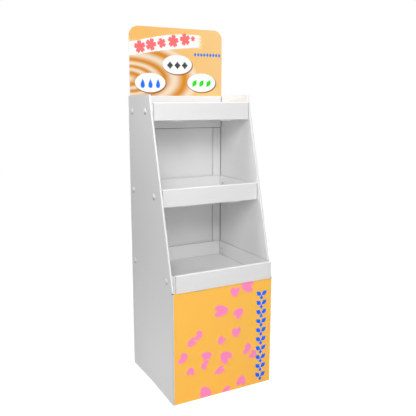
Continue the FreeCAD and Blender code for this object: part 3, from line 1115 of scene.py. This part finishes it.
    def _creases(self, wiring: Wiring, finish: BoardFinish, off_middle: Socket, y: Socket,
                 z: Socket) -> Socket:
        """Shade in the inner corners, under the header's strip and in the fold's holes.

        Args:
            wiring: Wiring of the material.
            finish: The board's finish.
            off_middle: Distance from the middle of the width.
            y: Depth.
            z: Height.

        Returns:
            The socket of the shade.
        """
        liner = self.sizes.half_width - 2 * self.sizes.body_board - self.sizes.ply_gap
        strip_bottom = self.sizes.top - self.strip_height
        past_liner = wiring.math("SUBTRACT", off_middle, liner)
        past_flange = wiring.math("SUBTRACT", y, self.sizes.back - self.flange_depth)
        past_strip = wiring.math("SUBTRACT", y, self.sizes.back - self.strip_depth)
        on_strip = wiring.math("GREATER_THAN", z, strip_bottom)
        low_corner = wiring.all_of(finish.creased(wiring, past_liner, past_flange),
                                   wiring.math("SUBTRACT", 1.0, on_strip))
        high_corner = wiring.all_of(finish.creased(wiring, past_liner, past_strip), on_strip)
        past_bottom = wiring.math("SUBTRACT", z, strip_bottom)
        past_back = wiring.math("SUBTRACT", y, self.sizes.back - self.sizes.body_board)
        under_strip = wiring.math("MAXIMUM", finish.creased(wiring, past_bottom, past_flange),
                                  finish.creased(wiring, past_bottom, past_back))
        hole_x = wiring.math("SUBTRACT", off_middle, self.sizes.half_width - self.fold_hole_radius)
        hole_z = wiring.math("SUBTRACT", z, self.sizes.panel_top)
        from_hole = wiring.length(hole_x, hole_z)
        in_hole = wiring.all_of(
            wiring.math("LESS_THAN", from_hole, self.fold_hole_radius + self.edge_slack),
            wiring.math("LESS_THAN", y, self.sizes.front + self.flange_depth))
        shade = wiring.math("MAXIMUM", low_corner, high_corner)
        return wiring.math("MAXIMUM", wiring.math("MAXIMUM", shade, under_strip), in_hole)


@dataclass
class TrayDressing:
    """White folded tray with raw edges on top of its walls."""

    sizes: StandSizes
    shaders: BoardShaders
    lip_rise: float = 2 * MM
    wall_top_shade: float = 0.2
    floor_crease_share: float = 0.22
    lip_play: float = 2 * MM
    lip_end_line: float = 3.5 * MM
    lip_end_shade: float = 0.7
    lip_top_height: float = 3.5 * MM
    lip_depth: float = 14 * MM

    def dress(self, tray: Tray) -> None:
        """Gives one tray its material."""
        dress_node(tray.value, self._material(tray))
        LOG.info("%s: dressed", tray.value)

    def _material(self, tray: Tray) -> bpy.types.Material:
        """White board, flutes on the wall tops and lip ends, painted shade and a painted
        highlight.

        Args:
            tray: The tray, whose box gives the places.

        Returns:
            The material.
        """
        low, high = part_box(tray.value)
        finish = BoardFinish(self.shaders, flute_pitch=6.4 * MM)
        material, wiring, surface = finish.start(tray.value + "_white_board")
        position = wiring.position()
        x, y, z = wiring.split(position)
        sideways, facing, rise = wiring.split(wiring.normal())
        coated = finish.coated(wiring, position)
        board, gap = self.sizes.tray_board, self.sizes.ply_gap
        from_side = wiring.math("SUBTRACT", high.x, wiring.math("ABSOLUTE", x))
        from_rear = wiring.math("SUBTRACT", high.y, y)
        from_front = wiring.math("SUBTRACT", y, low.y)
        wall_face = wiring.math("MINIMUM", from_side, from_rear)
        wall_edge = finish.raw_edge(wiring, wiring.math("ADD", x, y), wall_face, board, gap)
        lip_edge = finish.raw_edge(wiring, z, from_front, board, gap)
        on_wall = wiring.all_of(
            wiring.math("GREATER_THAN", rise, 0.9),
            wiring.math("GREATER_THAN", z, high.z - self.lip_rise - gap),
            wiring.math("LESS_THAN", z, high.z - self.lip_rise + gap))
        on_lip_end = wiring.all_of(
            wiring.math("GREATER_THAN", wiring.math("ABSOLUTE", sideways), 0.9),
            wiring.math("LESS_THAN", from_side, gap),
            wiring.math("LESS_THAN", from_front, board))
        # painted highlight: the lip's rounded top is drawn in white
        on_lip_top = wiring.all_of(
            wiring.math("LESS_THAN", from_front, self.lip_depth),
            wiring.ramp(z, high.z - self.lip_top_height, high.z - self.lip_top_height / 2))
        face = wiring.blend(on_lip_top, coated.outputs["Color"], Ink.WHITE.rgba())
        # painted shade on the raw tops of the walls
        dusky = wiring.blend(self.wall_top_shade, wall_edge.outputs["Color"], Ink.CREASE.rgba())
        colour = wiring.blend(on_wall, face, dusky)
        colour = wiring.blend(on_lip_end, colour, lip_edge.outputs["Color"])
        past_wall = wiring.math("SUBTRACT", board, from_side)
        past_rear = wiring.math("SUBTRACT", board, from_rear)
        past_floor = wiring.math("SUBTRACT", low.z + self.sizes.tab_drop + board, z)
        # painted shade in the corners where the floor meets the walls
        at_floor = wiring.math("MAXIMUM", finish.creased(wiring, past_wall, past_floor),
                               finish.creased(wiring, past_rear, past_floor))
        # painted shade at the lip's ends, on the bottom tray at its left end only
        past_end = wiring.ramp(from_side, self.lip_play, self.lip_play + self.lip_end_line,
                               self.lip_end_shade, 0.0, smooth=True)
        on_lip_face = wiring.all_of(wiring.math("LESS_THAN", facing, -0.9),
                                    wiring.math("LESS_THAN", from_front, board))
        if tray is Tray.BOTTOM:
            on_lip_face = wiring.all_of(on_lip_face, wiring.math("LESS_THAN", x, 0.0))
        shade = wiring.math("MAXIMUM", wiring.all_of(past_end, on_lip_face),
                            wiring.math("MULTIPLY", at_floor, self.floor_crease_share))
        wiring.feed(surface.inputs["Base Color"],
                    wiring.blend(shade, colour, Ink.CREASE.rgba()))
        wiring.feed(surface.inputs["Roughness"], coated.outputs["Roughness"])
        finish.relief(wiring, coated.outputs["Height"], surface)
        return material


@dataclass
class HeaderDressing:
    """Orange header board with ripples, a brushed band, ovals and small motifs."""

    sizes: StandSizes
    shaders: BoardShaders
    stamper: Stamper
    ink_depth: Point = (0.77, 0.87)
    ink_depth_span: Point = (-0.1, 0.2)
    pale_span: Point = (-0.15, 0.2)
    ripple_centre: Point = (-0.226, 1.257)
    ripple_stretch: float = 2.1
    ripple_reach: float = 0.185
    ripple_fade: Point = (0.147, 0.168)
    ripple_rings: tuple[tuple[float, Ink], ...] = (
        (0.0, Ink.RIPPLE_CREAM), (25.0, Ink.RIPPLE_DARK), (38.0, Ink.RIPPLE_CREAM),
        (51.0, Ink.RIPPLE_DARK), (63.0, Ink.RIPPLE_CREAM), (78.0, Ink.RIPPLE_DARK),
        (100.0, Ink.RIPPLE_CREAM), (124.0, Ink.RIPPLE_DARK), (147.0, Ink.RIPPLE_CREAM),
        (164.0, Ink.HEADER_ORANGE))
    oval_half_width: float = 0.0705
    oval_half_height: float = 0.0405
    oval_centres: tuple[Point, ...] = ((0.0, 1.3195), (-0.127, 1.2425), (0.117, 1.2450))
    band_film: float = 0.10 * MM
    band_start: float = -0.219
    band_length: float = 0.345
    band_height: float = 1.3770
    band_rise: float = 0.046
    band_droop: float = 0.004
    band_half: float = 0.0280
    band_swell: float = 0.0040
    oval_film: float = 0.20 * MM
    blossoms: tuple[Stamp, ...] = (
        Stamp(-172, 1387, 54, 56, 8),
        Stamp(-122, 1398, 52, 54, -14),
        Stamp(-73, 1406, 42, 44, 22),
        Stamp(-19, 1416, 54, 56, -6),
        Stamp(37, 1425, 52, 54, 12),
        Stamp(75, 1430, 22, 24, 0),
    )

    def dress(self) -> None:
        """Gives the header its material and prints what lies on it."""
        dress_node("header_board", self._material())
        self._band()
        self._ovals()
        self._motifs()

    def _ripples(self, wiring: Wiring, x: Socket, z: Socket, base: Socket) -> Socket:
        """Rings that spread from the left-hand edge and fade into the plain ground.

        Args:
            wiring: Wiring of the material.
            x: Place across the header.
            z: Height on the header.
            base: Colour of the plain ground.

        Returns:
            The colour with its ripples.
        """
        across = wiring.math("DIVIDE", wiring.math("SUBTRACT", x, self.ripple_centre[0]),
                             self.ripple_stretch)
        up = wiring.math("SUBTRACT", z, self.ripple_centre[1])
        radius = wiring.length(across, up)
        ramp = wiring.add("ShaderNodeValToRGB")
        wiring.feed(ramp.inputs[0], wiring.math("DIVIDE", radius, self.ripple_reach))
        stops = ramp.color_ramp.elements
        ramp.color_ramp.interpolation = "EASE"
        for place, (ring, ink) in enumerate(self.ripple_rings):
            share = ring * MM / self.ripple_reach
            stop = stops[place] if place < 2 else stops.new(share)
            stop.position = share
            stop.color = ink.rgba()
        faded = wiring.ramp(radius, *self.ripple_fade, 1.0, 0.0, smooth=True)
        return wiring.blend(faded, base, ramp.outputs[0])

    def _material(self) -> bpy.types.Material:
        """Printed front, plain board behind and at the edges."""
        finish = BoardFinish(self.shaders, flute_pitch=3.2 * MM)
        material, wiring, surface = finish.start("header_print")
        position = wiring.position()
        x, _, z = wiring.split(position)
        _, facing, _ = wiring.split(wiring.normal())
        coated = finish.coated(wiring, position)
        ground = wiring.blend(wiring.ramp(x, *self.pale_span), Ink.HEADER_ORANGE.rgba(),
                              Ink.HEADER_PALE.rgba())
        calmed = wiring.add("ShaderNodeHueSaturation")
        wiring.feed(calmed.inputs["Value"], wiring.ramp(x, *self.ink_depth_span, *self.ink_depth))
        wiring.feed(calmed.inputs["Color"], self._ripples(wiring, x, z, ground))
        ink = InkFinish(self.shaders, Ink.HEADER_ORANGE)
        film = ink.film(wiring, position, calmed.outputs[0])
        printed = wiring.all_of(wiring.math("LESS_THAN", facing, -0.5),
                                wiring.math("GREATER_THAN", z, self.sizes.top))
        wiring.feed(surface.inputs["Base Color"], wiring.blend(
            printed, coated.outputs["Color"], film.outputs["Color"]))
        wiring.feed(surface.inputs["Roughness"], coated.outputs["Roughness"])
        # painted light: the printed header glows a little
        ink.brighten(surface, wiring, wiring.blend(printed, NO_LIGHT,
                                                   film.outputs["Color"]))
        return material

    @staticmethod
    def _lay(name: str, shape: bmesh.types.BMesh, ink: bpy.types.Material) -> None:
        """Lays a printed shape on the header.

        Args:
            name: Name of the piece.
            shape: The working shape, which is freed.
            ink: Its material.
        """
        mesh = finished_mesh(name, shape)
        mesh.materials.append(ink)
        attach(new_piece(name, mesh), ROOT)
        LOG.info("%s: laid", name)

    def _band(self, steps: int = 48) -> None:
        """Prints a white brushed band that rises to the right and ends in dry streaks."""
        y = self.sizes.header_front - self.band_film
        shape = bmesh.new()
        grid = shape.loops.layers.uv.new("stroke")
        columns = []
        for step in range(steps + 1):
            share = step / steps
            x = self.band_start + self.band_length * share
            middle = (self.band_height + self.band_rise * math.sin(share * math.pi * 0.5)
                      - self.band_droop * share ** 3)
            half = self.band_half + self.band_swell * math.sin(share * math.pi)
            columns.append((share, x, middle - half, middle + half))
        for first, second in zip(columns, columns[1:]):
            (share_a, xa, low_a, high_a), (share_b, xb, low_b, high_b) = first, second
            corners = [((xa, y, low_a), (share_a, 0)), ((xb, y, low_b), (share_b, 0)),
                       ((xb, y, high_b), (share_b, 1)), ((xa, y, high_a), (share_a, 1))]
            face = shape.faces.new([shape.verts.new(place) for place, _ in corners])
            for loop, (_, uv) in zip(face.loops, corners):
                loop[grid].uv = uv
        bmesh.ops.remove_doubles(shape, verts=shape.verts[:], dist=WELD)
        self._lay("printed_band", shape, self._band_material())

    def _band_material(self) -> bpy.types.Material:
        """White paint that thins out into streaks at its edges and its right-hand end."""
        finish = BoardFinish(self.shaders)
        material, wiring, surface = finish.start("band_white")
        layer = wiring.add("ShaderNodeUVMap", uv_map="stroke")
        along, across, _ = wiring.split(layer.outputs[0])
        streak_place = wiring.add("ShaderNodeCombineXYZ")
        wiring.feed(streak_place.inputs["X"], wiring.math("MULTIPLY", along, 0.09))
        wiring.feed(streak_place.inputs["Y"], across)
        streak = wiring.noise(streak_place.outputs[0], 34.0, 4.0)
        end = wiring.ramp(along, 0.80, 1.0, 0.0, 0.85)
        side = wiring.math("ABSOLUTE", wiring.math("SUBTRACT", across, 0.5))
        edge = wiring.ramp(side, 0.36, 0.5, 0.0, 0.8)
        thin = wiring.math("MAXIMUM", end, edge)
        cover = wiring.math("SUBTRACT", wiring.math("ADD", streak, 0.28), thin)
        finish.thin_film(wiring, wiring.ramp(cover, 0.0, 0.3, smooth=True), surface)
        film = InkFinish(self.shaders, Ink.WHITE).film(wiring, wiring.position())
        wiring.feed(surface.inputs["Base Color"], film.outputs["Color"])
        wiring.feed(surface.inputs["Roughness"], film.outputs["Roughness"])
        return material

    def _ovals(self, steps: int = 64, rim: float = 1.16) -> None:
        """Prints three white ovals, each with a soft shadow under its lower edge."""
        y = self.sizes.header_front - self.oval_film
        shape = bmesh.new()
        grid = shape.loops.layers.uv.new("oval")
        for centre_x, centre_z in self.oval_centres:
            unit = [(rim * math.cos(2 * math.pi * step / steps),
                     rim * math.sin(2 * math.pi * step / steps)) for step in range(steps)]
            corners = [shape.verts.new((centre_x + self.oval_half_width * u, y,
                                        centre_z + self.oval_half_height * v)) for u, v in unit]
            face = shape.faces.new(corners)
            for loop, uv in zip(face.loops, unit):
                loop[grid].uv = uv
            face.normal_update()
            if face.normal.y > 0:
                bmesh.ops.reverse_faces(shape, faces=[face])
        self._lay("printed_ovals", shape, self._oval_material())

    def _oval_material(self) -> bpy.types.Material:
        """White inside the oval, a brown shadow that fades below it."""
        finish = BoardFinish(self.shaders)
        material, wiring, surface = finish.start("oval_white")
        layer = wiring.add("ShaderNodeUVMap", uv_map="oval")
        u, v, _ = wiring.split(layer.outputs[0])

        def distance(shift_u: float, shift_v: float) -> Socket:
            """Distance from a shifted centre, 1 at the oval's edge."""
            return wiring.length(wiring.math("SUBTRACT", u, shift_u),
                                 wiring.math("SUBTRACT", v, shift_v))

        white = wiring.ramp(distance(0, 0), 0.985, 1.0, 1.0, 0.0, smooth=True)
        shadow = wiring.ramp(distance(0.035, -0.085), 0.95, 1.07, 0.95, 0.0, smooth=True)
        film = InkFinish(self.shaders, Ink.WHITE).film(
            wiring, wiring.position(),
            wiring.blend(white, Ink.OVAL_SHADOW.rgba(), Ink.WHITE.rgba()))
        wiring.feed(surface.inputs["Base Color"], film.outputs["Color"])
        wiring.feed(surface.inputs["Roughness"], film.outputs["Roughness"])
        finish.thin_film(wiring, wiring.math("MAXIMUM", white, shadow), surface)
        return material

    def _motifs(self) -> None:
        """Prints the blossoms on the band, a row of marks in each oval and a dotted line."""
        half = self.sizes.header_half_width
        panel = PanelPrint(self.stamper, self.sizes.header_front - self.oval_film,
                           (-half, self.sizes.top), (half, self.sizes.header_top),
                           "header_print")
        inks = {ink: InkFinish(self.shaders, ink).material("ink_" + ink.name.lower())
                for ink in (Ink.CORAL, Ink.CHARCOAL, Ink.BLUE, Ink.GREEN, Ink.SOFT_BLUE)}
        panel.stamps("printed_blossoms", MotifShapes.blossom(), list(self.blossoms),
                     inks[Ink.CORAL])
        rows = (("printed_sparkles", MotifShapes.sparkle(), Ink.CHARCOAL, 0, 30, 32),
                ("printed_drops", MotifShapes.drop(), Ink.BLUE, 1, 29, 38),
                ("printed_leaves", MotifShapes.leaf(), Ink.GREEN, 2, 36, 20))
        for name, outline, ink, oval, length, breadth in rows:
            centre_x, centre_z = self.oval_centres[oval]
            turn = 55 if ink is Ink.GREEN else 0
            stamps = [Stamp(centre_x / MM + place * 35, centre_z / MM - 3, length, breadth, turn)
                      for place in (-1, 0, 1)]
            panel.stamps(name, outline, stamps, inks[ink])
        dots = [Stamp(86 + 15 * place, 1364, 13, 17, 0) for place in range(9)]
        panel.stamps("printed_dots", MotifShapes.lozenge(), dots, inks[Ink.SOFT_BLUE])


@dataclass
class RivetDressing:
    """Smooth push rivets in place of the plain many-sided ones."""

    stamper: Stamper
    sides: int = 40
    dome_steps: int = 8
    rim: float = 1.0 * MM
    head_height: float = 3.4 * MM
    shank_radius: float = 4 * MM
    seat_bevel: float = 0.3 * MM
    tip_radius: float = 2.4 * MM
    tip_depth: float = 1 * MM
    plug_radius: float = 2.2 * MM
    cap: float = 2 * MM
    cap_bevel: float = 0.6 * MM
    dimple_share: float = 0.42
    dimple_bevel: float = 0.3 * MM
    dimple_depth: float = 0.7 * MM
    dimple_taper: float = 0.6 * MM

    def dress(self) -> None:
        """Makes all buttons as one piece and all sockets as another."""
        finish = RivetFinish().material()
        for half in ("rivet_button", "rivet_socket"):
            nodes = sorted(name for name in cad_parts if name.startswith(half))
            shown_hollow = half == "rivet_socket"
            profile = self._socket(nodes[0]) if shown_hollow else self._button(nodes[0])
            motif = self._lathe(half + "_shape", profile, 3 if shown_hollow else 0)
            places = []
            turns = []
            for name in nodes:
                low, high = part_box(name)
                left = low.x < 0
                outer_end = low.x if left else high.x
                places.append(Vector((outer_end, (low.y + high.y) / 2, (low.z + high.z) / 2)))
                turns.append(Vector((0, 0, 0 if left else math.pi)))
            piece = self.stamper.repeat(half + "s_smooth", motif, places, turns,
                                        [Vector((1, 1, 1))] * len(nodes), finish)
            for face in piece.data.polygons:
                face.use_smooth = True
            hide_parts(*nodes)
            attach(piece, ROOT)
            LOG.info("%s: %d", half, len(nodes))

    def _button(self, node: str) -> list[Point]:
        """Profile of a button, as (inward, radius) points from the crown of its dome.

        Args:
            node: Name of a solid of this kind, which gives the sizes.

        Returns:
            The points.
        """
        low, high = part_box(node)
        radius = (high.z - low.z) / 2
        length = high.x - low.x
        crown = self.head_height - self.rim
        dome = (radius ** 2 + crown ** 2) / (2 * crown)
        edge = math.asin(radius / dome)
        points = []
        for step in range(self.dome_steps + 1):
            angle = edge * step / self.dome_steps
            points.append((dome * (1 - math.cos(angle)), dome * math.sin(angle)))
        seat = crown + self.rim
        return points + [(seat - self.seat_bevel, radius), (seat, radius - self.seat_bevel),
                         (seat, self.shank_radius), (length, self.shank_radius),
                         (length, self.tip_radius), (length - self.tip_depth, 0)]

    def _socket(self, node: str) -> list[Point]:
        """Profile of a socket, from the plug's tip to the dimple in its cap.

        Args:
            node: Name of a solid of this kind, which gives the sizes.

        Returns:
            The points.
        """
        low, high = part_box(node)
        radius = (high.z - low.z) / 2
        length = high.x - low.x
        seat = length - self.cap
        dimple = radius * self.dimple_share
        floor = length - self.dimple_depth
        return [(0, 0), (0, self.plug_radius), (seat, self.plug_radius), (seat, radius),
                (length - self.cap_bevel, radius), (length, radius - self.cap_bevel),
                (length, dimple + self.dimple_bevel), (length, dimple),
                (floor, dimple - self.dimple_taper), (floor, 0)]

    def _lathe(self, name: str, profile: list[Point], hollow_points: int) -> bpy.types.Mesh:
        """Turns a profile round the X axis.

        Args:
            name: Name of the mesh.
            profile: (inward, radius) points from end to end.
            hollow_points: How many points at the profile's end lie in the dimple, which gets
                painted shade.

        Returns:
            The closed mesh.
        """
        shape = bmesh.new()
        hollow = shape.verts.layers.float.new("hollow")
        points = [shape.verts.new((inward, 0, radius)) for inward, radius in profile]
        for point in points[len(points) - hollow_points:]:
            point[hollow] = 1.0
        edges = [shape.edges.new(pair) for pair in zip(points, points[1:])]
        bmesh.ops.spin(shape, geom=points + edges, cent=(0, 0, 0), axis=(1, 0, 0),
                       angle=2 * math.pi, steps=self.sides, use_duplicate=False)
        bmesh.ops.remove_doubles(shape, verts=shape.verts[:], dist=WELD)
        bmesh.ops.recalc_face_normals(shape, faces=shape.faces[:])
        return finished_mesh(name, shape)


@dataclass(frozen=True)
class Lamp:
    """One soft studio lamp, in metres and watts."""

    name: str
    place: tuple[float, float, float]
    target: tuple[float, float, float]
    width: float
    watts: float


@dataclass
class Studio:
    """Camera, lamps, floor and surroundings."""

    frame_px: float = 416.0
    camera_place: tuple[float, float, float] = (-1.0324, -1.9448, 1.1376)
    heading: float = 26.236
    tilt: float = -10.142
    roll: float = -0.33
    focal_px: float = 538.9
    centre_px: Point = (183.8, 204.05)
    sensor: float = 36.0
    floor_half: float = 8.0
    floor_tone: float = 0.88
    shadow_tone: float = 0.25
    floor_glow: float = 0.96
    shadow_reach: Point = (0.7, 1.7)
    lamps: tuple[Lamp, ...] = (
        Lamp("camera_high", (-0.9, -2.9, 2.6), (0.0, 0.0, 0.7), 1.0, 36.9),
        Lamp("front_low", (0.0, -3.0, 0.8), (0.0, 0.0, 0.5), 1.6, 9.2),
        Lamp("right_front", (1.0, -2.6, 1.7), (0.1, 0.0, 0.9), 0.8, 7.4),
        Lamp("left_high", (-1.4, 0.1, 2.4), (0.0, 0.0, 0.9), 0.35, 9.6),
        Lamp("left_front", (-2.2, -1.6, 1.2), (0.0, 0.0, 0.7), 1.0, 10.8),
        Lamp("left_foot", (-0.72, 0.0, 0.06), (-0.225, 0.0, 0.06), 0.25, 0.36),
        Lamp("key_near", (-0.75, -1.0, 1.7), (0.1, 0.0, 0.9), 0.4, 2.2),
        Lamp("key_far", (-1.2, -1.5, 2.4), (0.1, 0.0, 0.8), 0.5, 8.9),
        Lamp("overhead", (-0.1, -0.1, 2.4), (0.0, 0.0, 1.0), 0.7, 7.2),
        Lamp("behind", (1.7, 2.4, 1.5), (0.0, 0.0, 0.7), 1.4, 25.0),
    )

    def build(self) -> None:
        """Makes the whole studio."""
        self._camera()
        for lamp in self.lamps:
            self._lamp(lamp)
        self._floor()
        self._surroundings()

    def _camera(self) -> None:
        """Sets the camera where the photograph was taken from."""
        data = bpy.data.cameras.new("photo_camera")
        data.sensor_width = self.sensor
        data.lens = self.focal_px / self.frame_px * self.sensor
        data.shift_x = (self.frame_px / 2 - self.centre_px[0]) / self.frame_px
        data.shift_y = (self.centre_px[1] - self.frame_px / 2) / self.frame_px
        camera = bpy.data.objects.new("photo_camera", data)
        heading = Matrix.Rotation(-math.radians(self.heading), 4, "Z")
        tilt = Matrix.Rotation(math.radians(90 + self.tilt), 4, "X")
        roll = Matrix.Rotation(math.radians(self.roll), 4, "Z")
        camera.matrix_world = Matrix.Translation(self.camera_place) @ heading @ tilt @ roll
        bpy.context.scene.collection.objects.link(camera)
        bpy.context.scene.camera = camera

    def _lamp(self, lamp: Lamp) -> None:
        """Adds one square soft lamp that faces its target."""
        data = bpy.data.lights.new(lamp.name, "AREA")
        data.energy = lamp.watts
        data.size = lamp.width
        light = bpy.data.objects.new(lamp.name, data)
        light.location = lamp.place
        direction = Vector(lamp.target) - Vector(lamp.place)
        light.rotation_euler = direction.to_track_quat("-Z", "Y").to_euler()
        bpy.context.scene.collection.objects.link(light)

    def _floor(self) -> None:
        """Adds a pale floor that the camera sees as white with a faint shadow."""
        half = self.floor_half
        mesh = bpy.data.meshes.new("floor")
        mesh.from_pydata([(-half, -half, 0), (half, -half, 0), (half, half, 0), (-half, half, 0)],
                         [], [(0, 1, 2, 3)])
        material, wiring, surface = new_material("floor_white")
        surface.inputs["Roughness"].default_value = 0.9
        surface.inputs["Specular IOR Level"].default_value = 0.0
        seen = wiring.add("ShaderNodeLightPath").outputs["Is Camera Ray"]
        x, y, _ = wiring.split(wiring.position())
        away = wiring.length(x, y)
        glow = wiring.ramp(away, self.shadow_reach[0], self.shadow_reach[1], self.floor_glow, 1.0,
                           smooth=True)
        wiring.feed(surface.inputs["Base Color"],
                    wiring.blend(seen, (*[self.floor_tone] * 3, 1.0),
                                 (*[self.shadow_tone] * 3, 1.0)))
        surface.inputs["Emission Color"].default_value = FULL_LIGHT
        wiring.feed(surface.inputs["Emission Strength"],
                    wiring.math("MULTIPLY", seen, glow))
        mesh.materials.append(material)
        new_piece("floor", mesh)

    def _surroundings(self) -> None:
        """White to the camera, in gloss and through clear pieces, and no light otherwise."""
        world = bpy.data.worlds.new("studio")
        world.use_nodes = True
        wiring = Wiring(world.node_tree)
        background = world.node_tree.nodes["Background"]
        background.inputs["Color"].default_value = FULL_LIGHT
        path = wiring.add("ShaderNodeLightPath").outputs
        direct = wiring.math("MAXIMUM", path["Is Camera Ray"], path["Is Glossy Ray"])
        direct = wiring.math("MAXIMUM", direct, path["Is Transmission Ray"])
        wiring.feed(background.inputs["Strength"], direct)
        bpy.context.scene.world = world
        bpy.context.scene.view_settings.view_transform = "Standard"


def main() -> None:
    """Dresses the stand from the floor up, then sets the studio round it."""
    logging.basicConfig(level=logging.INFO, format="%(name)s: %(message)s")
    sizes = StandSizes.from_frame()
    shaders = BoardShaders()
    stamper = Stamper()
    BodyDressing(sizes, shaders, stamper).dress()
    for tray in Tray:
        TrayDressing(sizes, shaders).dress(tray)
    HeaderDressing(sizes, shaders, stamper).dress()
    RivetDressing(stamper).dress()
    Studio().build()


if __name__ == "__main__":
    main()
